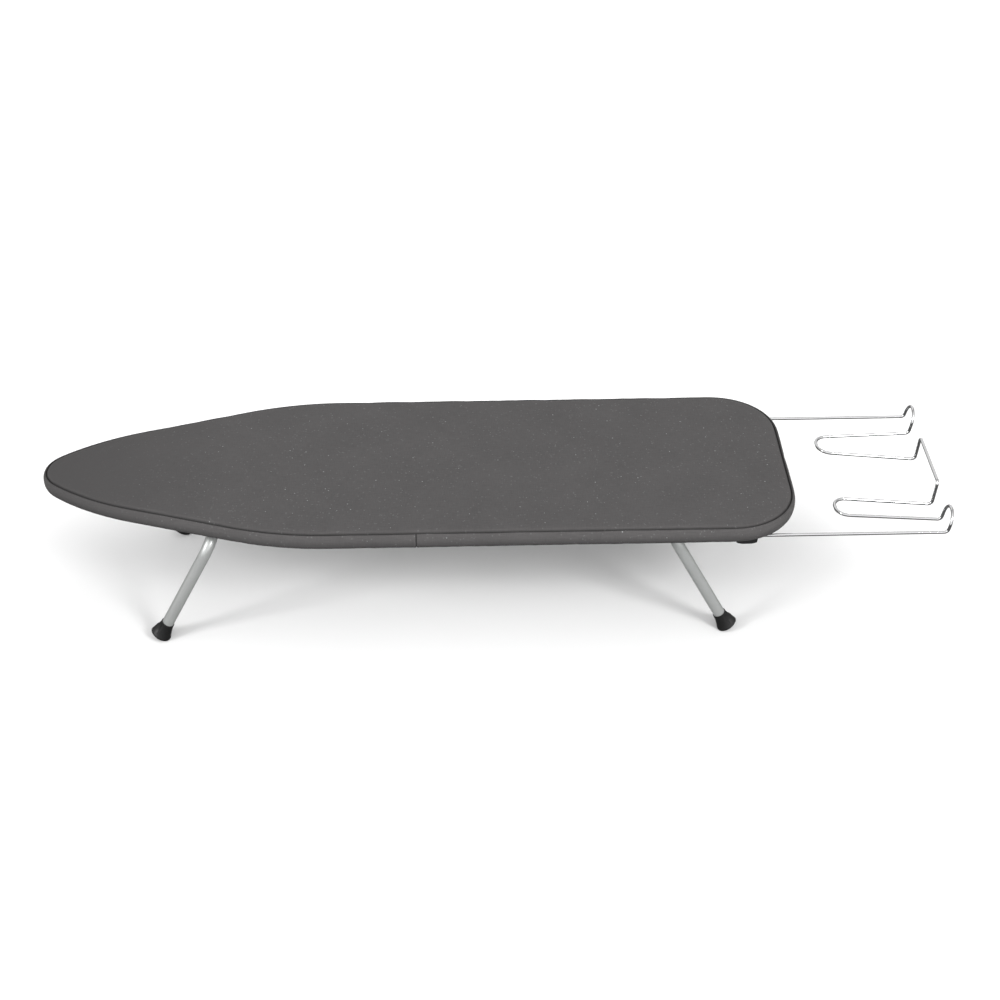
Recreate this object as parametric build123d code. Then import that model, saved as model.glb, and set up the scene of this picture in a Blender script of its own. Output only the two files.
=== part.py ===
from build123d import *
import os
from math import asin, cos, radians, sin, tan

# Table-top ironing board with folding U-legs and a pull-out wire iron rest.
# Millimetres, +Z up, floor at z = 0, nose towards -X, square end towards +X.
# Left is -Y, seen from the square end.  All shapes are drawn about the middle
# of the board and moved at export, so that the origin is under the middle of
# the whole object with the iron rest pulled out.

# ---------------------------------------------------------------- board
board_length = 950.0
board_width = 300.0
surface_height = 185.5        # top of the cover above the floor
nose_tip_radius = 40.0
nose_flank_radius = 317.0
nose_flank_turn = 50.7        # degrees round the tip where the flank arc starts
taper_angle = 18.5            # degrees between the taper and the straight side
shoulder_radius = 380.0
end_corner_radius = 80.0

cover_thickness = 1.2
underlay_thickness = 5.1
skirt_depth = 22.5            # cover top to the bottom of the side band
skirt_lean = 5.7              # how far the band's lower edge sits in
seam_inset = 0.3
hem_width = 8.0
drawstring_radius = 1.5
soft_clearance = 0.3

panel_sheet = 1.0
panel_rim_gap = 1.8           # panel's rim to the turned-in hem
panel_hole_radius = 8.0
panel_hole_pitch = 40.0
panel_row_pitch = 35.0
panel_edge_margin = 24.0

# ---------------------------------------------------------------- legs
leg_tube_radius = 7.5
leg_tube_wall = 1.2
leg_bend_radius = 25.0
leg_skirt_gap = 3.5           # band's lower edge to the leg's cross bar
leg_splay = 28.0              # degrees from the vertical, standing
leg_running_clearance = 0.08
rear_pivot_setback = 158.5    # square end to the rear pivot
front_edge_margin = 24.2      # front channel's corners to the board's edge

foot_collar_wall = 1.0
foot_flare = 3.9              # rim outside the collar
foot_length = 26.0
foot_collar_length = 6.0
foot_waist_swell = 1.1        # how far the flare's middle stands out of the collar
foot_edge = 0.6
foot_sole_radius = 19.0
foot_sole_flat = 0.5          # cut off the sole's ball, so that it stands flat
foot_tube_depth = 18.0
foot_rail_gap = 3.2           # folded foot to the iron rest's rail
cap_fit = 0.05

channel_flange = 12.0
channel_sheet = 1.2
channel_web_margin = 2.0      # web outside the saddle's base
channel_web_clearance = 4.0   # leg tube to the channel's web
rear_channel_overhang = 16.0  # channel's end outside the saddle

saddle_width = 18.0
saddle_bend_gap = 6.0         # saddle to the start of the leg's bend
saddle_wall = 5.0
saddle_floor = 1.5
saddle_base_thickness = 4.0
saddle_mouth_ratio = 1.5      # of the tube's radius, so that the tube snaps in
saddle_rivet_gap = 7.5        # saddle's body to its rivets
saddle_rivet_margin = 6.0
saddle_corner = 3.0

stop_pin_radius = 2.5
stop_pin_gap = 5.0            # saddle to the pin's centre line
stop_pin_angle = 50.0         # above the horizontal, standing
stop_gap = 0.1

clip_half_length = 9.0
clip_wall = 3.5
clip_grip = 3.0               # how far the inner prong reaches below the tube's centre
clip_outer_trim = 3.5         # the outer prong is shorter
clip_slot_clearance = 0.25
clip_base_thickness = 3.0
clip_rivet_gap = 7.0          # fork to its rivets
clip_rivet_margin = 6.0
clip_reach = 105.0            # leg pivot to its storage clips

rivet_radius = 1.6
rivet_head_radius = 3.2
rivet_head = 1.4
rivet_clearance = 0.1
rivet_recess = 0.2            # flush rivets end just under the upper face

# ---------------------------------------------------------------- iron rest
wire_radius = 2.0
rail_edge_inset = 17.4        # board edge to the rail's centre line
rail_hem_gap = 1.4            # band's lower edge to the rail
ear_reach = 182.0             # square end to the foot of the ears
ear_lean = 5.6
ear_rise = 23.9               # rail to the top of the ear
ear_gap = 33.7                # between the two uprights of an ear
ear_bend_slack = 0.1          # straight left at the top of an ear
arm_drop = 4.6                # rail to the ear's inner foot
loop_reach = 53.0             # square end to the hairpin loops
loop_drop = 2.2
loop_run_in = 9.9             # sideways run of a hairpin's outer arm
loop_width = 36.5
loop_bend = 17.0
post_run_in = 1.0
post_foot_drop = 14.8
post_height = 34.2
post_lean = 3.4
wire_bend = 5.5

guide_leg_gap = 1.7           # guides to the folded legs
guide_post_thickness = 3.8
guide_base_width = 17.0
guide_base_thickness = 3.0
guide_rivet_inset = 7.2       # rivets inside the guide's inner face
guide_rivet_margin = 8.0
guide_hem_gap = 0.2           # guide body to the cover's hem
guide_outer_setback = 54.0    # square end to the outer guide
guide_outer_length = 28.0
guide_outer_wall = 5.4        # rail to the outer guide's outer face
guide_outer_drop = 14.6       # rail centre to the outer guide's underside
guide_outer_corner = 6.0
guide_toe_length = 35.0
guide_toe_depth = 3.9
guide_toe_gap = 0.8
guide_inner_setback = 200.0   # square end to the inner guide
guide_inner_length = 25.0
guide_inner_floor = 1.9       # under the rail
guide_inner_lip_ratio = 0.6   # of the wire's radius: open outside, so that it snaps in
guide_inner_corner = 1.5
rail_clearance = 0.06
rail_cap_wall = 2.0
rail_cap_length = 10.0
rail_cap_depth = 8.0
rail_cap_corner = 1.5
rail_stop_gap = 0.2

# ---------------------------------------------------------------- derived places
end_x = board_length / 2
nose_x = -board_length / 2
half_width = board_width / 2
cover_bottom = surface_height - cover_thickness
panel_top = cover_bottom - underlay_thickness
panel_under = panel_top - panel_sheet
skirt_bottom = surface_height - skirt_depth
hem_top = skirt_bottom + cover_thickness
rim_bottom = hem_top + panel_rim_gap
band_inner_bottom = seam_inset + skirt_lean + cover_thickness
panel_inset = band_inner_bottom + soft_clearance

rail_y = half_width - rail_edge_inset
rail_z = skirt_bottom - rail_hem_gap - wire_radius
arm_y = rail_y - ear_gap
loop_outer_y = arm_y - loop_run_in
loop_inner_y = loop_outer_y - loop_width
post_y = loop_inner_y - post_run_in
ear_x = end_x + ear_reach

foot_collar_radius = leg_tube_radius + foot_collar_wall
foot_rim_radius = foot_collar_radius + foot_flare
leg_arm_y = rail_y - wire_radius - foot_rail_gap - foot_rim_radius
leg_pivot_height = skirt_bottom - leg_skirt_gap - leg_tube_radius
web_bottom = leg_pivot_height + leg_tube_radius + channel_web_clearance

saddle_y = leg_arm_y - leg_bend_radius - saddle_bend_gap - saddle_width / 2
saddle_half_length = leg_tube_radius + saddle_wall
saddle_rivet_x = saddle_half_length + saddle_rivet_gap
saddle_base_half = saddle_rivet_x + saddle_rivet_margin
saddle_mouth = saddle_mouth_ratio * leg_tube_radius
stop_pin_y = saddle_y - saddle_width / 2 - stop_pin_gap
channel_web_half = saddle_base_half + channel_web_margin
channel_half = channel_web_half + channel_flange
front_channel_half_length = saddle_y + saddle_width / 2
rear_channel_half_length = front_channel_half_length + rear_channel_overhang
rear_pivot_x = end_x - rear_pivot_setback

clip_rivet_x = clip_half_length + clip_rivet_gap
clip_base_half = clip_rivet_x + clip_rivet_margin

guide_inner_y = leg_arm_y + leg_tube_radius + guide_leg_gap
guide_post_y = guide_inner_y + guide_post_thickness
guide_base_y = guide_post_y - guide_base_width
guide_rivet_y = guide_inner_y - guide_rivet_inset
inner_guide_x = end_x - guide_inner_setback - guide_inner_length
rail_cap_x = inner_guide_x - rail_stop_gap - rail_cap_length
rail_in_x = rail_cap_x + rail_cap_length - rail_cap_depth
rest_tip_x = ear_x + ear_lean + wire_radius
centre_x = (rest_tip_x + nose_x) / 2


# ---------------------------------------------------------------- helpers
def block(x, y, z):
    """Box from three (low, high) pairs."""
    size = [high - low for low, high in (x, y, z)]
    middle = [(low + high) / 2 for low, high in (x, y, z)]
    return Pos(*middle) * Box(*size)


def rod(start, end, radius):
    """Solid cylinder between two points."""
    line = Line(start, end)
    return extrude(Plane(origin=start, z_dir=line % 0) * Circle(radius), amount=line.length)


def right_of(shape):
    """The same piece on the other side of the board."""
    return mirror(shape, about=Plane.XZ)


def both_sides(shapes):
    """A group of separate solids on both sides of the board."""
    return Compound(children=[*shapes, *[right_of(shape) for shape in shapes]])


def rivet(x, y, low, high, upper_head=False):
    """Rivet with a head under the lower face, flush or headed on the upper face."""
    body = rod((x, y, low), (x, y, high), rivet_radius)
    body += rod((x, y, low - rivet_head), (x, y, low), rivet_head_radius)
    if upper_head:
        body += rod((x, y, high), (x, y, high + rivet_head), rivet_head_radius)
    return body.solid()


def rivet_hole(x, y, low, high):
    return rod((x, y, low), (x, y, high), rivet_radius + rivet_clearance)


def flank_circle():
    """Centre of the long arc beside the nose, on the right half."""
    turn = radians(nose_flank_turn)
    tip_centre = Vector(nose_x + nose_tip_radius, 0)
    return tip_centre + Vector(cos(turn), -sin(turn)) * (nose_flank_radius - nose_tip_radius)


def taper_x_at(y):
    """Where the board's tapering edge is y from the middle line."""
    taper = radians(taper_angle)
    edge = flank_circle() + Vector(-sin(taper), cos(taper)) * nose_flank_radius
    return edge.X + (y - edge.Y) / tan(taper)


def board_outline(inset=0.0):
    """Plan of the board, every arc and line moved in by the inset."""
    half = half_width - inset
    end = end_x - inset
    tip_radius = nose_tip_radius - inset
    flank_radius = nose_flank_radius - inset
    bend_radius = shoulder_radius - inset
    corner_radius = end_corner_radius - inset
    turn, taper = radians(nose_flank_turn), radians(taper_angle)

    tip_centre = Vector(nose_x + nose_tip_radius, 0)
    flank_centre = flank_circle()
    flank_start = tip_centre + Vector(-cos(turn), sin(turn)) * tip_radius
    flank_angle = (radians(90) - turn + taper) / 2
    flank_middle = flank_centre + Vector(-sin(flank_angle), cos(flank_angle)) * flank_radius
    flank_end = flank_centre + Vector(-sin(taper), cos(taper)) * flank_radius
    along = Vector(cos(taper), sin(taper))
    shoulder = flank_end + along * ((half - flank_end.Y) / sin(taper))
    tangent = bend_radius * tan(taper / 2)
    bend_start = shoulder - along * tangent
    bend_end = shoulder + Vector(tangent, 0)
    bend_middle = bend_end + Vector(-sin(taper / 2), cos(taper / 2) - 1) * bend_radius
    corner_start = Vector(end - corner_radius, half)
    corner_end = Vector(end, half - corner_radius)
    corner_middle = Vector(end - corner_radius, half - corner_radius) + Vector(1, 1).normalized() * corner_radius

    def flip(point):
        return Vector(point.X, -point.Y)

    edges = [ThreePointArc(flip(flank_start), Vector(nose_x + inset, 0), flank_start)]
    for place in (lambda point: point, flip):
        edges.append(ThreePointArc(place(flank_start), place(flank_middle), place(flank_end)))
        edges.append(Line(place(flank_end), place(bend_start)))
        edges.append(ThreePointArc(place(bend_start), place(bend_middle), place(bend_end)))
        edges.append(Line(place(bend_end), place(corner_start)))
        edges.append(ThreePointArc(place(corner_start), place(corner_middle), place(corner_end)))
    edges.append(Line(corner_end, flip(corner_end)))
    return make_face(edges)


def plate(inset, low, high):
    return extrude(Pos(0, 0, low) * board_outline(inset), amount=high - low)


# ---------------------------------------------------------------- cover and pad
def make_cover_top():
    return plate(0.0, cover_bottom, surface_height)


def leaning_plug(inset):
    """Solid under the cover top whose wall leans in towards the bottom."""
    top = Pos(0, 0, cover_bottom) * board_outline(seam_inset + inset)
    bottom = Pos(0, 0, skirt_bottom) * board_outline(seam_inset + skirt_lean + inset)
    return loft([bottom, top], ruled=True)


def make_cover_side_band():
    band = leaning_plug(0.0) - leaning_plug(cover_thickness)
    hem = plate(band_inner_bottom - cover_thickness / 2, skirt_bottom, hem_top)
    hem -= plate(band_inner_bottom + hem_width, skirt_bottom, hem_top)
    return (band + hem).solid()


def make_hem_drawstring():
    """Cord in the hem's tunnel, lying on the turned-in fabric."""
    inset = band_inner_bottom + hem_width - drawstring_radius
    path = (Pos(0, 0, hem_top + drawstring_radius) * board_outline(inset)).face().outer_wire()
    section = Plane(origin=path @ 0, z_dir=path % 0) * Circle(drawstring_radius)
    return sweep(section, path=path).solid()


def make_underlay_pad():
    lean = skirt_lean * underlay_thickness / (cover_bottom - skirt_bottom)
    return plate(seam_inset + cover_thickness + lean + soft_clearance, panel_top, cover_bottom)


# ---------------------------------------------------------------- pressed panel
def fixing_areas():
    """Rectangles (x low, x high, y low, y high) that stay free of holes, left side."""
    areas = []
    for pivot_x, half_length, side in leg_sets():
        areas.append((pivot_x - channel_half, pivot_x + channel_half, -half_length, 0))
        clip_x = pivot_x - side * clip_reach
        areas.append((clip_x - clip_base_half, clip_x + clip_base_half,
                      -leg_arm_y - leg_tube_radius - clip_wall, -leg_arm_y + leg_tube_radius + clip_wall))
    for low, high in (guide_span(guide_outer_setback, guide_outer_length + guide_toe_length),
                      guide_span(guide_inner_setback, guide_inner_length)):
        areas.append((low, high, -guide_post_y, -guide_base_y))
    return areas


def hole_centres():
    """Staggered rows of holes, kept off the rim and the fixings."""
    field = board_outline(panel_inset + panel_edge_margin)
    rows = int(half_width // panel_row_pitch)
    columns = int(end_x // panel_hole_pitch) + 1
    areas = fixing_areas()
    centres = []
    for row in range(-rows, rows + 1):
        for column in range(-columns, columns + 1):
            x = (column + (row % 2) / 2) * panel_hole_pitch
            y = row * panel_row_pitch
            fixed = any(low_x - panel_hole_radius < x < high_x + panel_hole_radius
                        and low_y - panel_hole_radius < -abs(y) < high_y + panel_hole_radius
                        for low_x, high_x, low_y, high_y in areas)
            if not fixed and field.is_inside(Vector(x, y, 0)):
                centres.append((x, y))
    return centres


def make_board_panel():
    holes = Sketch() + [Pos(x, y) * Circle(panel_hole_radius) for x, y in hole_centres()]
    sheet = extrude(Pos(0, 0, panel_under) * (board_outline(panel_inset) - holes), amount=panel_sheet)
    rim = plate(panel_inset, rim_bottom, panel_under) - plate(panel_inset + panel_sheet, rim_bottom, panel_under)
    holes_through = [rivet_hole(x, y, panel_under, panel_top)
                     for x, y in (clip_rivet_places() + guide_rivet_places())]
    holes_through += [right_of(hole) for hole in holes_through]
    return (sheet + rim - holes_through).solid()


# ---------------------------------------------------------------- leg carriers
def leg_sets():
    """(pivot x, channel's half length, side) for the front and the rear leg."""
    front_pivot_x = taper_x_at(front_channel_half_length + front_edge_margin) + channel_half
    return [(front_pivot_x, front_channel_half_length, -1), (rear_pivot_x, rear_channel_half_length, 1)]


def make_cross_channel(pivot_x, half_length):
    """Pressed hat section that stiffens the panel and carries the saddles."""
    half = channel_web_half
    y = (-half_length, half_length)
    web = block((pivot_x - half, pivot_x + half), y, (web_bottom, web_bottom + channel_sheet))
    channel = web
    for side in (-1, 1):
        edge, inside = pivot_x + side * half, pivot_x + side * (half - channel_sheet)
        rim_edge = pivot_x + side * (half + channel_flange)
        channel += block(sorted((edge, inside)), y, (web_bottom, panel_under))
        channel += block(sorted((rim_edge, inside)), y, (panel_under - channel_sheet, panel_under))
    for x, rivet_y in saddle_rivet_places(pivot_x):
        hole = rivet_hole(x, rivet_y, web_bottom, web_bottom + channel_sheet)
        channel -= [hole, right_of(hole)]
    return channel.solid()


def saddle_rivet_places(pivot_x):
    return [(pivot_x + offset, -saddle_y) for offset in (-saddle_rivet_x, saddle_rivet_x)]


def make_saddle(pivot_x):
    """Plastic bearing that snaps over the leg's cross bar, left side."""
    y = (-saddle_y - saddle_width / 2, -saddle_y + saddle_width / 2)
    bore_radius = leg_tube_radius + leg_running_clearance
    bottom = leg_pivot_height - leg_tube_radius - saddle_floor
    base = block((pivot_x - saddle_base_half, pivot_x + saddle_base_half), y,
                 (web_bottom - saddle_base_thickness, web_bottom))
    body = block((pivot_x - saddle_half_length, pivot_x + saddle_half_length), y, (bottom, web_bottom))
    body = fillet(body.edges().filter_by(Axis.Y).group_by(Axis.Z)[0], saddle_corner)
    saddle = body + base
    saddle -= rod((pivot_x, y[0], leg_pivot_height), (pivot_x, y[1], leg_pivot_height), bore_radius)
    saddle -= block((pivot_x - saddle_mouth / 2, pivot_x + saddle_mouth / 2), y, (bottom, leg_pivot_height))
    for x, rivet_y in saddle_rivet_places(pivot_x):
        saddle -= rivet_hole(x, rivet_y, web_bottom - saddle_base_thickness, web_bottom)
    return saddle.solid()


def make_saddle_rivets():
    places = [place for pivot_x, _, _ in leg_sets() for place in saddle_rivet_places(pivot_x)]
    return both_sides([rivet(x, y, web_bottom - saddle_base_thickness, web_bottom + channel_sheet, True)
                       for x, y in places])


def clip_rivet_places():
    return [(pivot_x - side * clip_reach + offset, -leg_arm_y)
            for pivot_x, _, side in leg_sets() for offset in (-clip_rivet_x, clip_rivet_x)]


def make_storage_clip(pivot_x, side):
    """Plastic fork that one arm of the folded leg drops into, left side."""
    x = pivot_x - side * clip_reach
    slot_half = leg_tube_radius + clip_slot_clearance
    wide = (-leg_arm_y - slot_half - clip_wall, -leg_arm_y + slot_half + clip_wall)
    seat = leg_pivot_height + leg_tube_radius + stop_gap
    bottom = leg_pivot_height - clip_grip
    fork = block((x - clip_half_length, x + clip_half_length), wide, (bottom, panel_under))
    fork = fillet(fork.edges().filter_by(Axis.X).group_by(Axis.Z)[0], clip_wall / 2.2)
    fork -= block((x - clip_half_length, x + clip_half_length),
                  (-leg_arm_y - slot_half, -leg_arm_y + slot_half), (bottom, seat))
    fork -= block((x - clip_half_length, x + clip_half_length), (wide[0], -leg_arm_y), (bottom, bottom + clip_outer_trim))
    base = block((x - clip_base_half, x + clip_base_half), wide,
                 (panel_under - clip_base_thickness, panel_under))
    clip = fork + base
    for offset in (-clip_rivet_x, clip_rivet_x):
        clip -= rivet_hole(x + offset, -leg_arm_y, panel_under - clip_base_thickness, panel_under)
    return clip.solid()


def make_clip_rivets():
    return both_sides([rivet(x, y, panel_under - clip_base_thickness, panel_top - rivet_recess)
                       for x, y in clip_rivet_places()])


# ---------------------------------------------------------------- legs
def place_leg(shape, pivot_x, side):
    """Turn a leg piece drawn hanging straight down to its standing angle."""
    return Pos(pivot_x, 0, leg_pivot_height) * Rot(0, -side * leg_splay, 0) * shape


def sole_centre():
    """Distance from the pivot down the leg to the centre of the foot's ball."""
    return (leg_pivot_height - foot_sole_radius + foot_sole_flat) / cos(radians(leg_splay))


def tube_length():
    return sole_centre() + foot_sole_radius - foot_length + foot_tube_depth


def make_leg_tube(pivot_x, side):
    down = -tube_length()
    path = FilletPolyline((0, -leg_arm_y, down), (0, -leg_arm_y, 0), (0, leg_arm_y, 0), (0, leg_arm_y, down),
                          radius=leg_bend_radius)
    section = Plane(origin=path @ 0, z_dir=path % 0)
    outer = sweep(section * Circle(leg_tube_radius), path=path)
    inner = sweep(section * Circle(leg_tube_radius - leg_tube_wall), path=path)
    tube = place_leg((outer - inner).solid(), pivot_x, side)
    return (tube - [stop_pin(pivot_x, side, y, rivet_clearance) for y in (-stop_pin_y, stop_pin_y)]).solid()


def stop_pin(pivot_x, side, y, clearance=0.0):
    """Pin through the cross bar that meets the channel's web when the leg stands."""
    angle = radians(stop_pin_angle)
    room = web_bottom - leg_pivot_height - stop_gap
    reach = (room - stop_pin_radius * cos(angle)) / sin(angle)
    aim = Vector(side * cos(angle), 0, sin(angle))
    pivot = Vector(pivot_x, y, leg_pivot_height)
    return rod(pivot - aim * leg_tube_radius, pivot + aim * reach, stop_pin_radius + clearance)


def foot_rim_angle():
    return asin(foot_rim_radius / foot_sole_radius)


def make_foot(pivot_x, side):
    """Flared plastic cap on the end of one arm, left side, flat where it stands."""
    centre = sole_centre()
    top = centre + foot_sole_radius - foot_length
    rim = centre + foot_sole_radius * cos(foot_rim_angle())
    tip = centre + foot_sole_radius
    inside = top + foot_tube_depth
    bore = leg_tube_radius + cap_fit
    collar = (foot_collar_radius, -top - foot_collar_length)
    waist = (foot_collar_radius + foot_waist_swell, -(top + foot_collar_length + rim) / 2)
    ball = (foot_sole_radius * sin(foot_rim_angle() / 2), -centre - foot_sole_radius * cos(foot_rim_angle() / 2))
    profile = make_face([
        Line((bore, -top), (foot_collar_radius - foot_edge, -top)),
        Line((foot_collar_radius - foot_edge, -top), (foot_collar_radius, -top - foot_edge)),
        Line((foot_collar_radius, -top - foot_edge), collar),
        ThreePointArc(collar, waist, (foot_rim_radius, -rim)),
        ThreePointArc((foot_rim_radius, -rim), ball, (0, -tip)),
        Line((0, -tip), (0, -inside)),
        Line((0, -inside), (bore, -inside)),
        Line((bore, -inside), (bore, -top)),
    ])
    cap = revolve(Plane.XZ * profile, axis=Axis.Z)
    foot = place_leg(Pos(0, -leg_arm_y, 0) * cap, pivot_x, side)
    floor = Pos(pivot_x, 0, 0) * Box(1000, 1000, 100, align=(Align.CENTER, Align.CENTER, Align.MAX))
    return (foot - floor).solid()


# ---------------------------------------------------------------- iron rest
def make_iron_rest_wire():
    """One bent wire: rail, ear, hairpin, post, and the same mirrored."""
    post_foot = rail_z - post_foot_drop
    left = [
        (rail_in_x, -rail_y, rail_z),
        (ear_x, -rail_y, rail_z),
        (ear_x + ear_lean, -rail_y, rail_z + ear_rise),
        (ear_x + ear_lean, -arm_y, rail_z + ear_rise),
        (ear_x, -arm_y, rail_z - arm_drop),
        (end_x + loop_reach, -loop_outer_y, rail_z - loop_drop),
        (end_x + loop_reach, -loop_inner_y, rail_z - loop_drop),
        (ear_x, -post_y, post_foot),
        (ear_x + post_lean, -post_y, post_foot + post_height),
    ]
    ear_bend = (ear_gap - ear_bend_slack) / 2
    bends = [wire_bend, ear_bend, ear_bend, wire_bend, loop_bend, loop_bend, wire_bend, wire_bend]
    right = [(x, -y, z) for x, y, z in reversed(left)]
    path = FilletPolyline(*left, *right, radius=bends + bends[::-1])
    section = Plane(origin=path @ 0, z_dir=path % 0) * Circle(wire_radius)
    return sweep(section, path=path).solid()


def make_rail_cap():
    """Plastic stop on the rail's inner end, too wide for the guide, left side."""
    start = (rail_cap_x, -rail_y, rail_z)
    end = (rail_cap_x + rail_cap_length, -rail_y, rail_z)
    cap = rod(start, end, wire_radius + rail_cap_wall)
    cap = fillet(cap.edges().group_by(Axis.X)[0], rail_cap_corner)
    return (cap - rod((rail_in_x, -rail_y, rail_z), end, wire_radius + cap_fit)).solid()


def guide_span(setback, length):
    return (end_x - setback - length, end_x - setback)


def guide_rivet_places():
    spans = [guide_span(guide_outer_setback, guide_outer_length + guide_toe_length),
             guide_span(guide_inner_setback, guide_inner_length)]
    return [(x, -guide_rivet_y) for low, high in spans
            for x in (low + guide_rivet_margin, high - guide_rivet_margin)]


def make_rail_guide(x, outer_y, bottom, base_x, bottom_fillet):
    """Plastic hanger under the panel with a bore for the rail, left side."""
    top = skirt_bottom - guide_hem_gap
    lower = block(x, (-outer_y, -guide_inner_y), (bottom, top))
    lower = fillet(lower.edges().filter_by(Axis.Y).group_by(Axis.Z)[0], bottom_fillet)
    post = block(base_x, (-guide_post_y, -guide_inner_y), (top, panel_under))
    base = block(base_x, (-guide_post_y, -guide_base_y), (panel_under - guide_base_thickness, panel_under))
    return lower + post + base


def finish_rail_guide(guide, x, base_x):
    guide -= rod((x[0], -rail_y, rail_z), (x[1], -rail_y, rail_z), wire_radius + rail_clearance)
    for rivet_x in (base_x[0] + guide_rivet_margin, base_x[1] - guide_rivet_margin):
        guide -= rivet_hole(rivet_x, -guide_rivet_y, panel_under - guide_base_thickness, panel_under)
    return guide.solid()


def make_outer_guide():
    """Guide next to the square end, with a deep block and a toe along the rail."""
    x = guide_span(guide_outer_setback, guide_outer_length)
    base_x = guide_span(guide_outer_setback, guide_outer_length + guide_toe_length)
    outer_y = rail_y + wire_radius + guide_outer_wall
    guide = make_rail_guide(x, outer_y, rail_z - guide_outer_drop, base_x, guide_outer_corner)
    top = skirt_bottom - guide_hem_gap
    toe_y = (-outer_y, -rail_y - wire_radius - guide_toe_gap)
    guide += block(base_x, toe_y, (top - guide_toe_depth, top))
    return finish_rail_guide(guide, x, base_x)


def make_inner_guide():
    """Short guide further in, open on its outer side so that the wire snaps in."""
    x = guide_span(guide_inner_setback, guide_inner_length)
    outer_y = rail_y + guide_inner_lip_ratio * wire_radius
    bottom = rail_z - wire_radius - guide_inner_floor
    guide = make_rail_guide(x, outer_y, bottom, x, guide_inner_corner)
    return finish_rail_guide(guide, x, x)


def make_guide_rivets():
    return both_sides([rivet(x, y, panel_under - guide_base_thickness, panel_top - rivet_recess)
                       for x, y in guide_rivet_places()])


# ---------------------------------------------------------------- all the nodes
def left_and_right(name, shape):
    return {name.format("left"): shape, name.format("right"): right_of(shape)}


def make_nodes():
    nodes = {
        "cover_top": make_cover_top(),
        "cover_side_band": make_cover_side_band(),
        "hem_drawstring": make_hem_drawstring(),
        "underlay_pad": make_underlay_pad(),
        "board_panel": make_board_panel(),
        "saddle_rivets": make_saddle_rivets(),
        "clip_rivets": make_clip_rivets(),
        "guide_rivets": make_guide_rivets(),
        "iron_rest_wire": make_iron_rest_wire(),
    }
    for end, (pivot_x, half_length, side) in zip(("front", "rear"), leg_sets()):
        nodes[end + "_cross_channel"] = make_cross_channel(pivot_x, half_length)
        nodes[end + "_leg_tube"] = make_leg_tube(pivot_x, side)
        pins = [stop_pin(pivot_x, side, -stop_pin_y)]
        nodes[end + "_stop_pins"] = both_sides(pins)
        nodes.update(left_and_right(end + "_{}_saddle", make_saddle(pivot_x)))
        nodes.update(left_and_right(end + "_{}_leg_clip", make_storage_clip(pivot_x, side)))
        nodes.update(left_and_right(end + "_{}_foot", make_foot(pivot_x, side)))
    nodes.update(left_and_right("{}_outer_rail_guide", make_outer_guide()))
    nodes.update(left_and_right("{}_inner_rail_guide", make_inner_guide()))
    nodes.update(left_and_right("{}_rail_cap", make_rail_cap()))
    return nodes


os.makedirs("parts", exist_ok=True)
for name, shape in make_nodes().items():
    export_step(Pos(-centre_x, 0, 0) * shape, f"parts/{name}.step")
front_pivot, rear_pivot = leg_sets()[0][0] - centre_x, leg_sets()[1][0] - centre_x
print("leg pivots, mm: x", front_pivot, rear_pivot, "z", leg_pivot_height)
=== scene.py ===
import bpy
import bmesh
import math
import random
from mathutils import Matrix, Vector, noise
from mathutils.kdtree import KDTree


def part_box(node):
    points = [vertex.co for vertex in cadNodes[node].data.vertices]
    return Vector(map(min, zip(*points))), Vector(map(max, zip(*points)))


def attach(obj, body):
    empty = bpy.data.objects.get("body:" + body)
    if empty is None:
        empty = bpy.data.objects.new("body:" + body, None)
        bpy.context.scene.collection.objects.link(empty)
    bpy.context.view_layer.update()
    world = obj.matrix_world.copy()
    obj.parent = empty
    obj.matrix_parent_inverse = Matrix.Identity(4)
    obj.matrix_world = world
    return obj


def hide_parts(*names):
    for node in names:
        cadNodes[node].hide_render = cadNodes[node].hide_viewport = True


# Table-top ironing board: a fabric cover over a felt pad on a perforated steel panel,
# two folding U legs and a pull-out wire rest for the iron.  Metres, nose towards -X.

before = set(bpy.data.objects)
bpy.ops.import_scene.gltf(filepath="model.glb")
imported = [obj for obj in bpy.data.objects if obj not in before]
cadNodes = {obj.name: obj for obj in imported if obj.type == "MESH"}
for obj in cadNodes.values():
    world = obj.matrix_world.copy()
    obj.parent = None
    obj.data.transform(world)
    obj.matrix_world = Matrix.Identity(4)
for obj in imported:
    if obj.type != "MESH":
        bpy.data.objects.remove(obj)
bpy.context.view_layer.update()
scene = bpy.context.scene
random.seed(4)
print("frame loaded,", len(cadNodes), "nodes")

cameraSettings = {
    "place": (-0.0318, -1.9358, 1.4938),
    "lens": 65.47,
    "pan": -0.022,
    "tilt": 0.615,   # below the horizon
    "roll": -0.004,
}

studio = {
    "floorSize": 16.0,
    # the paper's grey near the board, where it is painted shade
    "floorTone": 0.74,
    "floorMottle": 0.01,
    "shadePlace": (-0.08, -0.10, 0.0),
    "shadeReach": (1.45, 2.6, 0.0),   # one over the oval's half lengths
    "shadeFade": (0.7, 1.25),         # the painted shade fades out and the paper turns white between these distances
    "frontSky": 1.44,     # world strength on the front side
    "backSky": 0.52,
    "skyBlend": 0.55,     # the two meet over this much of a unit direction, either way
    "lamps": [            # place, width, height, power
        ((2.1, -2.4, 2.4), 1.0, 1.0, 88.0),
        ((-2.8, -1.6, 2.0), 0.9, 0.9, 62.0),
    ],
    "lampAim": (0.0, 0.0, 0.1),
    "cardTone": 0.17,     # floor as polished metal sees it
    "cardMottle": 0.05,
    "cardFade": (-1.0, -0.6),           # towards the front it ends in the dark
    "cardDark": 0.01,
    "backdropGlow": 1.0,
    "backdropPlace": (0, 4.5, 4.3),
    "backdropHalf": 4.0,
    "paperNoise": (2.0, 3.0),           # scale and detail
}


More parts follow.
